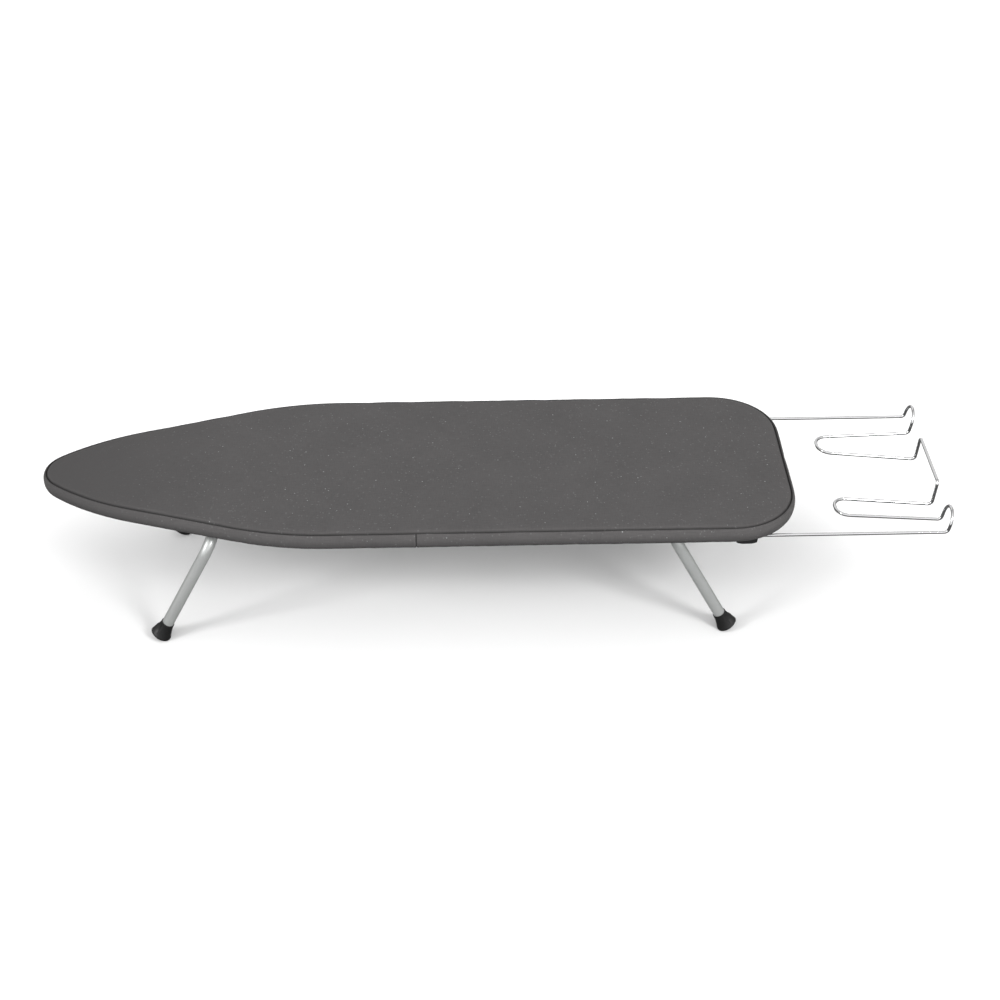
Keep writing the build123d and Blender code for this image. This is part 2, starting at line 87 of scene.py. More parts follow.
def addCamera(settings):
    data = bpy.data.cameras.new("camera")
    data.lens = settings["lens"]
    camera = bpy.data.objects.new("camera", data)
    turn = Matrix.Rotation(settings["pan"], 4, "Z")
    turn = turn @ Matrix.Rotation(math.pi / 2 - settings["tilt"], 4, "X")
    roll = Matrix.Rotation(settings["roll"], 4, "Z")
    camera.matrix_world = Matrix.Translation(settings["place"]) @ turn @ roll
    scene.collection.objects.link(camera)
    scene.camera = camera


def addPlane(name, half, place=Matrix()):
    # a flat square for the studio's floor, reflector card and backdrop
    bm = bmesh.new()
    bmesh.ops.create_grid(bm, x_segments=1, y_segments=1, size=half)
    bmesh.ops.transform(bm, matrix=place, verts=bm.verts)
    plane = objectFrom(bm, name)
    return plane


def addFloor(settings):
    # pale paper with painted shade: grey near the board and legs, turning white away from them
    floor = addPlane("floor", settings["floorSize"] / 2)
    floor.visible_glossy = False
    wire = newMaterial("floorPaper")
    place = objectPlace(wire)
    mottle = softNoise(wire, place, *settings["paperNoise"])
    tone, spread = settings["floorTone"], settings["floorMottle"]
    colour = mixed(wire, mottle, grey(tone - spread), grey(tone + spread))
    # painted shade: inside an oval round the board the paper keeps its grey tone
    offset = wire.add("VectorMath", {"operation": "SUBTRACT"}, {0: place, 1: settings["shadePlace"]})
    oval = scaled(wire, offset, settings["shadeReach"])
    away = wire.add("VectorMath", {"operation": "LENGTH"}, {0: oval}, "Value")
    colour = mixed(wire, smoothStep(wire, away, *settings["shadeFade"]), colour, grey(1.0))
    paper = wire.shade({"Base Color": colour, "Roughness": 0.8, "Specular IOR Level": 0.1})
    floor.data.materials.append(paper)
    addReflectorCard(settings)
    addBackdrop(settings)


def addReflectorCard(settings):
    # a grey floor that only reflections see, so that metal edges read
    card = addPlane("reflectorCard", settings["floorSize"] / 2)
    card.visible_camera = card.visible_diffuse = False
    card.visible_shadow = card.visible_transmission = False
    wire = newMaterial("reflectorGrey")
    place = objectPlace(wire)
    mottle = softNoise(wire, place, *settings["paperNoise"])
    tone, spread = settings["cardTone"], settings["cardMottle"]
    colour = mixed(wire, mottle, grey(tone * (1 - spread)), grey(tone * (1 + spread)))
    near = smoothStep(wire, axisOf(wire, place, 1), *settings["cardFade"])
    colour = mixed(wire, near, grey(settings["cardDark"]), colour)
    grain = wire.shade({"Base Color": colour, "Roughness": 0.9, "Specular IOR Level": 0.0})
    card.data.materials.append(grain)


def addBackdrop(settings):
    # a white wall behind, also only in reflections
    upright = Matrix.Translation(settings["backdropPlace"]) @ Matrix.Rotation(math.pi / 2, 4, "X")
    backdrop = addPlane("backdrop", settings["backdropHalf"], upright)
    backdrop.visible_camera = backdrop.visible_diffuse = backdrop.visible_shadow = False
    wire = newMaterial("backdropGlow")
    glow = softNoise(wire, objectPlace(wire), 1.0, 2.0) * 0.1 + 0.95
    white = mixed(wire, glow, grey(0.0), grey(1.0))
    wall = wire.shade({"Base Color": grey(0.0), "Emission Color": white,
                       "Emission Strength": settings["backdropGlow"]})
    backdrop.data.materials.append(wall)


def addLights(settings):
    world = bpy.data.worlds.new("studioWorld")
    scene.world = world
    world.use_nodes = True
    nodes, links = world.node_tree.nodes, world.node_tree.links
    background = nodes["Background"]
    background.inputs["Color"].default_value = (1, 1, 1, 1)
    coordinates = nodes.new("ShaderNodeTexCoord")
    split = nodes.new("ShaderNodeSeparateXYZ")
    ramp = nodes.new("ShaderNodeMapRange")
    ramp.interpolation_type = "SMOOTHSTEP"
    ramp.inputs["From Min"].default_value = -settings["skyBlend"]
    ramp.inputs["From Max"].default_value = settings["skyBlend"]
    ramp.inputs["To Min"].default_value = settings["frontSky"]
    ramp.inputs["To Max"].default_value = settings["backSky"]
    links.new(coordinates.outputs["Generated"], split.inputs[0])
    links.new(split.outputs["Y"], ramp.inputs["Value"])
    links.new(ramp.outputs[0], background.inputs["Strength"])

    for number, (place, width, height, power) in enumerate(settings["lamps"], 1):
        light = bpy.data.lights.new(f"softLamp{number}", "AREA")
        light.shape = "RECTANGLE"
        light.size, light.size_y, light.energy = width, height, power
        lamp = bpy.data.objects.new(light.name, light)
        lamp.location = place
        lamp.rotation_mode = "QUATERNION"
        aim = Vector(settings["lampAim"]) - Vector(place)
        lamp.rotation_quaternion = aim.to_track_quat("-Z", "Y")
        scene.collection.objects.link(lamp)
    scene.view_settings.view_transform = "Standard"


# mesh helpers

def objectFrom(bm, name):
    mesh = bpy.data.meshes.new(name)
    bm.to_mesh(mesh)
    bm.free()
    mesh.shade_smooth()
    made = bpy.data.objects.new(name, mesh)
    scene.collection.objects.link(made)
    return made


def finishPiece(piece, body, material, replaced=()):
    piece.data.materials.clear()
    piece.data.materials.append(material)
    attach(piece, body)
    if replaced:
        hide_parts(*replaced)
    return piece


def bell(distance, width):
    return math.exp(-(distance / width) ** 2)


def subdivide(piece, levels=1):
    modifier = piece.modifiers.new("subdivision", "SUBSURF")
    modifier.levels = modifier.render_levels = levels


# shader helper

class Wire:
    # one socket of a material's nodes; arithmetic on it adds Math nodes

    def __init__(self, material, socket=None):
        self.material, self.socket = material, socket

    def feed(self, node, inputs):
        for name, value in inputs.items():
            if isinstance(value, Wire):
                self.material.node_tree.links.new(value.socket, node.inputs[name])
            else:
                node.inputs[name].default_value = value

    def add(self, kind, settings, inputs, output=0):
        node = self.material.node_tree.nodes.new("ShaderNode" + kind)
        for name, value in settings.items():
            setattr(node, name, value)
        self.feed(node, inputs)
        return Wire(self.material, node.outputs[output])

    def shade(self, inputs):
        self.feed(self.material.node_tree.nodes["Principled BSDF"], inputs)
        return self.material

    def math(self, operation, *values):
        return self.add("Math", {"operation": operation}, dict(enumerate(values)))

    def __add__(self, other):
        return self.math("ADD", self, other)

    def __sub__(self, other):
        return self.math("SUBTRACT", self, other)

    def __rsub__(self, other):
        return self.math("SUBTRACT", other, self)

    def __mul__(self, other):
        return self.math("MULTIPLY", self, other)

    def __lt__(self, other):
        return self.math("LESS_THAN", self, other)

    def __gt__(self, other):
        return self.math("GREATER_THAN", self, other)


def newMaterial(name):
    material = bpy.data.materials.new(name)
    material.use_nodes = True
    return Wire(material)


def objectPlace(wire):
    return wire.add("TexCoord", {}, {}, "Object")


def axisOf(wire, place, axis):
    return wire.add("SeparateXYZ", {}, {0: place}, axis)


def cellsOf(wire, inputs, output, settings=None):
    return wire.add("TexVoronoi", settings or {}, inputs, output)


def scaled(wire, place, scale):
    return wire.add("VectorMath", {"operation": "MULTIPLY"}, {0: place, 1: scale})


def mixed(wire, factor, first, second):
    return wire.add("Mix", {"data_type": "RGBA"}, {0: factor, 6: first, 7: second}, 2)


def softNoise(wire, place, scale, detail=2.0, rough=0.5):
    return wire.add("TexNoise", {}, {"Vector": place, "Scale": scale, "Detail": detail, "Roughness": rough})


def smoothStep(wire, value, low, high):
    return wire.add("MapRange", {"interpolation_type": "SMOOTHSTEP"},
                    {"Value": value, "From Min": low, "From Max": high})


def bumped(wire, height, distance, strength=1.0):
    return wire.add("Bump", {}, {"Height": height, "Distance": distance, "Strength": strength})


def grey(value, tint=(1, 1, 1)):
    return (value * tint[0], value * tint[1], value * tint[2], 1)


# woven cover

weave = {
    "threadPitch": 0.0009,
    "threadHeight": 0.00012,
    "drift": 1.6,            # threads never run quite straight
    "driftScale": 60.0,
    "slub": (70, 900, 1),    # thicker lengths of thread, noise scales along and across
    "crossSlub": (900, 80, 1),
    "shares": (0.16, 0.34, 0.26, 0.18),   # of thread, slub, cross slub and cloud in the shade
    "shadeRange": (0.22, 0.78),
    "tone": 0.058,
    "darkest": 0.74,
    "lightest": 1.30,
    "tint": (1.03, 0.985, 0.985),
    "fleckCell": 0.0042,
    "fleckRadius": (0.16, 0.05),   # shares of a cell: what varies, and the least
    "fleckShare": 0.984,     # cells with a lower random number have no fleck
    "fleckTone": 0.20,
    "dustCells": 2.6,        # dust cells in one fleck cell's length
    "dustShare": 0.982,
    "dustStrength": 0.18,
    "wornNose": (-0.58, -0.30),    # between these places along the board the nose fades in
    "wornTone": 0.80,
    "creaseShade": (0.92, 0.16),   # how much of the painted shade covers, and its tone
    "roughness": 0.74,
}


def wovenCover(settings):
    wire = newMaterial("wovenMetallisedCotton")
    cloth = wire.add("UVMap", {"uv_map": "weave"}, {})
    turns = math.pi / settings["threadPitch"]
    drift = (softNoise(wire, cloth, settings["driftScale"], 2.0) - 0.5) * settings["drift"]
    warp = wire.math("SINE", axisOf(wire, cloth, 0) * turns + drift)
    weft = wire.math("SINE", axisOf(wire, cloth, 1) * turns + drift)
    over = (warp * weft) > 0.0
    thread = over * wire.math("ABSOLUTE", warp) + (1 - over) * wire.math("ABSOLUTE", weft)

    slub = softNoise(wire, scaled(wire, cloth, settings["slub"]), 1.0, 3.0, 0.6)
    crossSlub = softNoise(wire, scaled(wire, cloth, settings["crossSlub"]), 1.0, 3.0, 0.6)
    cloud = softNoise(wire, cloth, 14.0, 3.0)
    ofThread, ofSlub, ofCross, ofCloud = settings["shares"]
    shadeOf = thread * ofThread + slub * ofSlub + crossSlub * ofCross + cloud * ofCloud
    tone, tint = settings["tone"], settings["tint"]
    ground = mixed(wire, smoothStep(wire, shadeOf, *settings["shadeRange"]),
                   grey(tone * settings["darkest"], tint), grey(tone * settings["lightest"], tint))

    flat = {"voronoi_dimensions": "2D"}
    cells = {"Vector": cloth, "Scale": 1 / settings["fleckCell"], "Randomness": 1.0}
    distance = cellsOf(wire, cells, "Distance", flat)
    chance = cellsOf(wire, cells, "Color", flat)
    varied, least = settings["fleckRadius"]
    inside = distance < axisOf(wire, chance, 1) * varied + least
    fleck = (axisOf(wire, chance, 0) > settings["fleckShare"]) * inside
    fine = {"Vector": cloth, "Scale": settings["dustCells"] / settings["fleckCell"], "Randomness": 1.0}
    glint = axisOf(wire, cellsOf(wire, fine, "Color", flat), 0)
    dust = (glint > settings["dustShare"]) * settings["dustStrength"]
    sparkle = wire.math("MAXIMUM", fleck, dust)
    colour = mixed(wire, sparkle, ground, grey(settings["fleckTone"], (0.98, 1.0, 1.0)))

    along = axisOf(wire, objectPlace(wire), 0)
    worn = 1 - smoothStep(wire, along, *settings["wornNose"])
    colour = mixed(wire, worn, colour, grey(tone * settings["wornTone"], tint))
    # painted shade: darker in the seam groove, down the band's join and where the band turns under
    paintedShade = wire.add("Attribute", {"attribute_name": "paintedShade"}, {}, "Fac")
    strength, dark = settings["creaseShade"]
    colour = mixed(wire, paintedShade * strength, colour, grey(tone * dark, tint))
    height = thread * 0.7 + slub * 0.2 + crossSlub * 0.2
    normal = bumped(wire, height, settings["threadHeight"], 0.55)
    return wire.shade({
        "Base Color": colour, "Roughness": settings["roughness"] - sparkle * 0.3,
        "Metallic": fleck * 0.5, "Normal": normal,
        "Specular IOR Level": 0.16, "Sheen Weight": 0.03, "Sheen Roughness": 0.5,
    })


cover = {
    "spacing": 0.004,      # between points along the edge
    "ease": 0.0042,        # the cover stands out this far, less towards the square end
    "across": 66,          # quads across the top
    "pressure": 0.5,
    "slack": -0.002,       # the cloth is this much larger than its first shape
    "stiffness": 22.0,
    "bending": 0.6,
    "frames": 20,
    "topSwell": 0.0006,
    "bandSwell": 0.0008,
    "hemSwell": 0.0006,
    "hemRings": 9,         # rings of the section that belong to the hem
    "gatherRings": 11,     # the drawstring gathers the hem up to this ring into small folds
    "gatherFade": 5,       # rings over which the folds die out
    "foldDepth": (0.0011, 0.0007),      # sideways and up
    "foldPace": (0.31, 0.37),           # noise steps per point along the edge
    "foldDrift": (0.12, 0.1),           # noise steps per ring
    "turnUnderShadeRings": 14,       # below this ring the band turns under and gets painted shade
    "turnUnderShade": (0.17, 0.62),  # painted shade per ring, and at most
    "besideSeam": 0.4,     # painted shade of the rings next to the seam
}

bandJoin = {
    "reach": 0.0948,       # the side band's two ends meet this far from the frame's middle, on the left
    "cuts": (-0.0030, -0.0012, -0.0005, 0.0, 0.0005, 0.0012, 0.0030),
    "cutWidth": 0.012,     # faces that are cut
    "width": 0.004,        # points that move
    "depth": 0.0013,
    "grooveWidth": 0.0005,
    "lip": 0.00035,        # height, distance and width of the lips beside the groove
    "lipPlace": 0.0014,
    "lipWidth": 0.0008,
    "shadeWidth": 0.0006,
}

# side band from inside the hem up to the seam, and the top from the seam inwards:
# (inset, depth, share of the ease)
hemAndBand = [
    (0.0096, 0.0184, 0.0), (0.0112, 0.0177, 0.0), (0.0134, 0.0176, 0.0), (0.0150, 0.0184, 0.0),
    (0.0154, 0.0200, 0.0), (0.0148, 0.0216, 0.05), (0.0130, 0.0225, 0.2), (0.0100, 0.0229, 0.5),
    (0.0072, 0.0230, 0.8), (0.0050, 0.0224, 1.0), (0.0031, 0.0209, 1.0), (0.0014, 0.0184, 1.0),
    (0.0004, 0.0152, 1.0), (0.0000, 0.0116, 1.0), (0.0000, 0.0080, 1.0), (0.0005, 0.0048, 1.0),
    (0.0014, 0.0025, 1.0), (0.0025, 0.0013, 1.0), (0.0036, 0.0012, 1.0),
]
seamLine = [(0.0047, 0.0036, 1.0)]
crown = [(0.0058, 0.0011, 1.0), (0.0068, 0.0000, 1.0), (0.0086, -0.0005, 1.0), (0.0115, -0.0006, 1.0),
         (0.0150, -0.0006, 1.0)]


def edgeLine(spacing):
    # even points round the board's widest line, from the middle of the square end,
    # and the inward direction at each
    bm = bmesh.new()
    bm.from_mesh(cadNodes["cover_top"].data)
    bmesh.ops.remove_doubles(bm, verts=bm.verts, dist=1e-6)
    everything = bm.verts[:] + bm.edges[:] + bm.faces[:]
    bmesh.ops.bisect_plane(bm, geom=everything, plane_co=(0, 0, 0), plane_no=(0, 1, 0))
    upper = {face for face in bm.faces if face.normal.z > 0.9}
    beside = {}
    for edge in bm.edges:
        if sum(face in upper for face in edge.link_faces) == 1:
            for vertex in edge.verts:
                beside.setdefault(vertex, []).append(edge.other_vert(vertex))
    start = max(beside, key=lambda vertex: vertex.co.x - abs(vertex.co.y))
    walk = [start, max(beside[start], key=lambda vertex: vertex.co.y)]
    while walk[-1] is not start:
        walk.append(next(vertex for vertex in beside[walk[-1]] if vertex is not walk[-2]))
    corners = [Vector((vertex.co.x, vertex.co.y, 0)) for vertex in walk]
    bm.free()

    reaches = [0.0]
    for first, second in zip(corners, corners[1:]):
        reaches.append(reaches[-1] + (second - first).length)
    count = 4 * round(reaches[-1] / spacing / 4)
    points, run = [], 0
    for index in range(count):
        reach = reaches[-1] * index / count
        while reaches[run + 1] < reach:
            run += 1
        share = (reach - reaches[run]) / (reaches[run + 1] - reaches[run])
        points.append(corners[run].lerp(corners[run + 1], share))
    for _ in range(4):   # rounds off the straight pieces of the arcs
        points = [(points[i - 1] + points[i] * 2 + points[(i + 1) % count]) / 4 for i in range(count)]
    inwards = []
    for index in range(count):
        along = (points[(index + 1) % count] - points[index - 1]).normalized()
        inwards.append(Vector((-along.y, along.x, 0)))
    if inwards[0].x > 0:
        inwards = [-direction for direction in inwards]
    return points, inwards, reaches[-1] / count


def ringsAlong(points, inwards, section, top):
    # the edge line extruded ring by ring along a section of (inset, depth, share of the ease)
    ease = [cover["ease"] * (1 - max(0.0, -inward.x)) for inward in inwards]

    def placeOf(index, inset, depth, share):
        return points[index] + inwards[index] * (inset - ease[index] * share) + Vector((0, 0, top - depth))

    bm = bmesh.new()
    place = bm.verts.layers.int.new("place")
    ring = bm.verts.layers.int.new("ring")
    verts = []
    for index in range(len(points)):
        verts.append(bm.verts.new(placeOf(index, *section[0])))
        verts[-1][place] = index
    first = edges = [bm.edges.new((verts[i - 1], verts[i])) for i in range(len(verts))]
    for number, spot in enumerate(section[1:], 1):
        made = bmesh.ops.extrude_edge_only(bm, edges=edges)["geom"]
        edges = [item for item in made if isinstance(item, bmesh.types.BMEdge)]
        for vertex in [item for item in made if isinstance(item, bmesh.types.BMVert)]:
            vertex.co = placeOf(vertex[place], *spot)
            vertex[ring] = number
    return bm, first, edges


def fillRing(bm, edges, count, across, number):
    # closes a ring with a grid of quads, its two rails along the board's sides
    place = bm.verts.layers.int["place"]
    ring = bm.verts.layers.int["ring"]
    half, nose = across // 2, count // 2
    rails = [edge for edge in edges
             if all(half <= vertex[place] <= nose - half for vertex in edge.verts)
             or all(nose + half <= vertex[place] <= count - half for vertex in edge.verts)]
    before = set(bm.verts)
    bmesh.ops.grid_fill(bm, edges=rails, use_interp_simple=True)
    for vertex in bm.verts:
        if vertex not in before:
            vertex[ring] = number
            vertex[place] = -1


def swell(piece, settings, most):
    # cloth with air pressure inside; afterwards each point moves at most as far as its ring may
    rest = [vertex.co.copy() for vertex in piece.data.vertices]
    cloth = piece.modifiers.new("cloth", "CLOTH")
    cloth.settings.vertex_group_mass = "pins"
    cloth.settings.use_pressure = True
    cloth.settings.uniform_pressure_force = settings["pressure"]
    cloth.settings.effector_weights.gravity = 0
    cloth.settings.shrink_min = settings["slack"]
    cloth.settings.bending_stiffness = settings["bending"]
    cloth.settings.tension_stiffness = cloth.settings.compression_stiffness = settings["stiffness"]
    cloth.collision_settings.use_collision = False
    for number in range(1, settings["frames"] + 1):
        scene.frame_set(number)
    blown = piece.evaluated_get(bpy.context.evaluated_depsgraph_get())
    moves = [vertex.co - place for vertex, place in zip(blown.to_mesh().vertices, rest)]
    blown.to_mesh_clear()
    piece.modifiers.remove(cloth)
    scene.frame_set(1)
    for vertex, place, move, limit in zip(piece.data.vertices, rest, moves, most):
        if move.length > 1e-7 and limit > 0:
            vertex.co = place + move.normalized() * limit * math.tanh(move.length / limit)
    print(piece.name, "swelled, mm before the limit:", round(max(move.length for move in moves) * 1000, 1))


def weaveMap(bm, points, step, section, flat):
    # UV in metres: plan on the top, and along the edge and round the section on the band
    layer = bm.loops.layers.uv.new("weave")
    ring = bm.verts.layers.int["ring"]
    if flat:
        for face in bm.faces:
            for loop in face.loops:
                loop[layer].uv = loop.vert.co.xy
        return
    girth = [0.0]
    for (inset, depth, _), (nextInset, nextDepth, _) in zip(section, section[1:]):
        girth.append(girth[-1] + math.hypot(nextInset - inset, nextDepth - depth))
    tree = KDTree(len(points))
    for index, point in enumerate(points):
        tree.insert(point, index)
    tree.balance()
    around = len(points) * step
    for face in bm.faces:
        reaches = []
        for loop in face.loops:
            flatPlace = Vector((loop.vert.co.x, loop.vert.co.y, 0))
            index = tree.find(flatPlace)[1]
            forward = (points[(index + 1) % len(points)] - points[index - 1]).normalized()
            reaches.append(index * step + (flatPlace - points[index]).dot(forward))
        if max(reaches) - min(reaches) > around / 2:
            reaches = [reach - around if reach > around / 2 else reach for reach in reaches]
        for loop, reach in zip(face.loops, reaches):
            loop[layer].uv = (reach, girth[min(loop.vert[ring], len(girth) - 1)])


def gatherHem(vertex, place, ring):
    gather = min(1.0, max(0.0, (cover["gatherRings"] - ring) / cover["gatherFade"]))
    if not gather:
        return
    (pace, risePace), (drift, riseDrift) = cover["foldPace"], cover["foldDrift"]
    depth, riseDepth = cover["foldDepth"]
    wave = noise.noise(Vector((place * pace, ring * drift, 2.0)))
    rise = noise.noise(Vector((place * risePace, 7.0, ring * riseDrift)))
    vertex.co += inwards[place] * wave * depth * gather
    vertex.co.z += rise * riseDepth * gather


def swellLimit(number, seam):
    if number > seam:
        return cover["topSwell"]
    return cover["bandSwell"] if number > cover["hemRings"] else cover["hemSwell"]


def makeCover():
    section = hemAndBand + seamLine + crown
    seam = len(hemAndBand)
    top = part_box("cover_top")[1].z
    bm, _, edges = ringsAlong(points, inwards, section, top)
    fillRing(bm, edges, len(points), cover["across"], len(section))
    bmesh.ops.recalc_face_normals(bm, faces=bm.faces)
    if max(bm.faces, key=lambda face: face.calc_center_median().z).normal.z < 0:
        bmesh.ops.reverse_faces(bm, faces=bm.faces)
    ring = bm.verts.layers.int["ring"]
    place = bm.verts.layers.int["place"]
    bm.verts.ensure_lookup_table()
    rings = [vertex[ring] for vertex in bm.verts]
    for vertex in bm.verts:
        if vertex[place] >= 0:
            gatherHem(vertex, vertex[place], vertex[ring])
    shell = objectFrom(bm, "coverShell")
    group = shell.vertex_groups.new(name="pins")
    group.add([index for index, number in enumerate(rings) if number in (0, seam)], 1.0, "REPLACE")
    swell(shell, cover, [swellLimit(number, seam) for number in rings])

    halves = []
    sides = (("coverTop", lambda number: number >= seam), ("coverSideBand", lambda number: number <= seam))
    for name, keep in sides:
        bm = bmesh.new()
        bm.from_mesh(shell.data)
        ring = bm.verts.layers.int["ring"]
        unwanted = [face for face in bm.faces if not all(keep(vertex[ring]) for vertex in face.verts)]
        bmesh.ops.delete(bm, geom=unwanted, context="FACES")
        if name == "coverSideBand":
            sewBandJoin(bm)
        paintedShadeLayer = bm.verts.layers.float.get("paintedShade") or bm.verts.layers.float.new("paintedShade")
        ring = bm.verts.layers.int["ring"]
        # painted shade: the seam's ring and its neighbours, and the band's lower rings where it turns under
        for vertex in bm.verts:
            below = cover["turnUnderShadeRings"] - vertex[ring]
            if abs(vertex[ring] - seam) < 2:
                vertex[paintedShadeLayer] = 1.0 if vertex[ring] == seam else cover["besideSeam"]
            elif below > 0:
                turnUnderShade = min(cover["turnUnderShade"][1], below * cover["turnUnderShade"][0])
                vertex[paintedShadeLayer] = max(vertex[paintedShadeLayer], turnUnderShade)
        weaveMap(bm, points, step, section, name == "coverTop")
        half = objectFrom(bm, name)
        subdivide(half)
        halves.append(half)
    bpy.data.objects.remove(shell)
    return halves


def sewBandJoin(bm):
    # the band's ends are sewn face to face: a narrow upright groove, open to the left side
    joinX = -bandJoin["reach"]
    paintedShade = bm.verts.layers.float.new("paintedShade")
    for offset in bandJoin["cuts"]:
        near = []
        for face in bm.faces:
            middle = face.calc_center_median()
            if middle.y < 0 and abs(middle.x - joinX) < bandJoin["cutWidth"]:
                near.append(face)
        geom = near + list({edge for face in near for edge in face.edges})
        geom += list({vertex for face in near for vertex in face.verts})
        cut = (joinX + offset, 0, 0)
        bmesh.ops.bisect_plane(bm, geom=geom, plane_co=cut, plane_no=(1, 0, 0), dist=1e-6)
    bm.normal_update()
    for vertex in bm.verts:
        away = abs(vertex.co.x - joinX)
        if vertex.co.y < 0 and away < bandJoin["width"]:
            outward = vertex.normal if vertex.normal.length > 0 else Vector((0, -1, 0))
            vertex.co -= outward * bandJoin["depth"] * bell(away, bandJoin["grooveWidth"])
            lip = bell(away - bandJoin["lipPlace"], bandJoin["lipWidth"])
            vertex.co += outward * bandJoin["lip"] * lip
            # painted shade down the join's groove
            vertex[paintedShade] = bell(away, bandJoin["shadeWidth"])


stitches = {
    # thread pitch, inset and depth of the two long rows
    "rows": ((0.0031, 0.0037, 0.0029), (0.0050, 0.0156, 0.0199)),
    "length": 0.0021,
    "uneven": 0.1,
    "thread": 0.00028,   # radius
    "joinCount": 5,      # down the band's join
    "joinTop": 0.0060,
    "joinPitch": 0.0030,
    "joinInset": 0.0011,
}


def makeStitches():
    # short thread stitches: in the top seam's groove, round the hem and down the band's join
    bm, ball = bmesh.new(), bmesh.new()
    bmesh.ops.create_uvsphere(ball, u_segments=6, v_segments=4, radius=1.0)
    ball.verts.index_update()
    random.seed(9)
    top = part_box("cover_top")[1].z
    for pitch, inset, depth in stitches["rows"]:
        count = int(len(points) * step / pitch)
        for number in range(count):
            reach = (number + 0.5) / count * len(points)
            index = int(reach)
            following = (index + 1) % len(points)
            place = points[index].lerp(points[following], reach - index)
            along = (points[following] - points[index]).normalized()
            place = place + inwards[index] * inset + Vector((0, 0, top - depth))
            uneven = random.uniform(1 - stitches["uneven"], 1 + stitches["uneven"])
            addStitch(bm, ball, place, along, stitches["length"] * uneven)
    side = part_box("cover_side_band")[0].y + stitches["joinInset"]
    for number in range(stitches["joinCount"]):
        height = top - (stitches["joinTop"] + number * stitches["joinPitch"])
        place = Vector((-bandJoin["reach"], side, height))
        addStitch(bm, ball, place, Vector((0, 0, 1)), stitches["length"])
    ball.free()
    return objectFrom(bm, "coverStitches")


def addStitch(bm, ball, place, along, length):
    turn = along.to_track_quat("Z", "Y").to_matrix().to_4x4()
    size = Matrix.Diagonal((stitches["thread"], stitches["thread"], length / 2, 1))
    shape = Matrix.Translation(place) @ turn @ size
    verts = [bm.verts.new(shape @ vertex.co) for vertex in ball.verts]
    for face in ball.faces:
        bm.faces.new([verts[vertex.index] for vertex in face.verts])


padding = {
    "spacing": 0.008,
    "across": 34,
    # lower face, rounded edge, upper face: (inset, depth, share of the ease)
    "section": [
        (0.0300, 0.0062, 0.0), (0.0072, 0.0062, 0.0), (0.0060, 0.0058, 0.2), (0.0054, 0.0050, 0.4),
        (0.0056, 0.0038, 0.4), (0.0066, 0.0024, 0.4), (0.0084, 0.0012, 0.4), (0.0130, 0.0008, 0.4),
    ],
    "lumps": 0.00015,
    "lumpScale": 40,
}


def makePad():
    edge, inside, _ = edgeLine(padding["spacing"])
    bm, first, last = ringsAlong(edge, inside, padding["section"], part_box("cover_top")[1].z)
    for ends in (first, last):
        fillRing(bm, ends, len(edge), padding["across"], len(padding["section"]))
    for vertex in bm.verts:
        vertex.co.z += noise.noise(vertex.co * padding["lumpScale"]) * padding["lumps"]
    bmesh.ops.recalc_face_normals(bm, faces=bm.faces)
    return objectFrom(bm, "feltPad")


drawstring = {
    "radius": 0.0013,
    "inset": 0.0129,
    "depth": 0.0199,
    "sides": 10,
    "knotRadius": 0.0026,
    "knotShape": (0.7, 0.62),      # shares of that radius, along the board and up
    "knotSpread": 0.0011,          # its two loops lie this far to each side
    "knotLean": 0.0006,
    "knotPoints": 14,
    "tail": 0.016,
    "tailStart": (-0.0024, 0.001, -0.0004),
    "tailCurve": (-0.0022, -0.0006),    # tucked back and down towards its end
    "tailPoints": 9,
    "endShare": 0.85,              # radius of knot and tails beside the cord's
    "endSides": 8,
}


def addTube(bm, path, radius, sides, closed=False):
    # a round cord along a path, with UV in metres along and round it
    layer = bm.loops.layers.uv.verify()
    rings, reach = [], 0.0
    for index, place in enumerate(path):
        if closed:
            along = path[(index + 1) % len(path)] - path[index - 1]
        else:
            along = path[min(index + 1, len(path) - 1)] - path[max(index - 1, 0)]
        turn = along.to_track_quat("Z", "Y").to_matrix()
        ring = []
        for side in range(sides):
            angle = math.tau * side / sides
            ring.append(bm.verts.new(place + turn @ Vector((math.cos(angle), math.sin(angle), 0)) * radius))
        rings.append((ring, reach))
        reach += (path[(index + 1) % len(path)] - place).length
    pairs = list(zip(rings, rings[1:]))
    if closed:
        pairs.append((rings[-1], rings[0]))
    for (first, start), (second, end) in pairs:
        end = end if end > start else reach
        for side in range(sides):
            following = (side + 1) % sides
            face = bm.faces.new((first[side], first[following], second[following], second[side]))
            spots = ((start, side), (start, side + 1), (end, side + 1), (end, side))
            for loop, (along, around) in zip(face.loops, spots):
                loop[layer].uv = (along, around / sides * math.tau * radius)
    if not closed:
        bm.faces.new(rings[0][0][::-1])
        bm.faces.new(rings[-1][0])


def knotLoop(knot, turn):
    # one of the two crossed loops of the knot
    loop, (along, up) = [], drawstring["knotShape"]
    for index in range(drawstring["knotPoints"]):
        angle = math.tau * index / drawstring["knotPoints"]
        forward = math.cos(angle) * drawstring["knotRadius"] * along
        rise = math.sin(angle) * drawstring["knotRadius"] * up
        sideways = turn * drawstring["knotSpread"] + math.sin(angle) * drawstring["knotLean"]
        loop.append(knot + Vector((forward, sideways, rise)))
    return loop


def knotTail(knot, turn):
    back, side, down = drawstring["tailStart"]
    curve, droop = drawstring["tailCurve"]
    tail = []
    for index in range(drawstring["tailPoints"]):
        share = index / (drawstring["tailPoints"] - 1)
        sideways = turn * (side + share * drawstring["tail"])
        tail.append(knot + Vector((back + curve * share ** 2, sideways, down + droop * share)))
    return tail


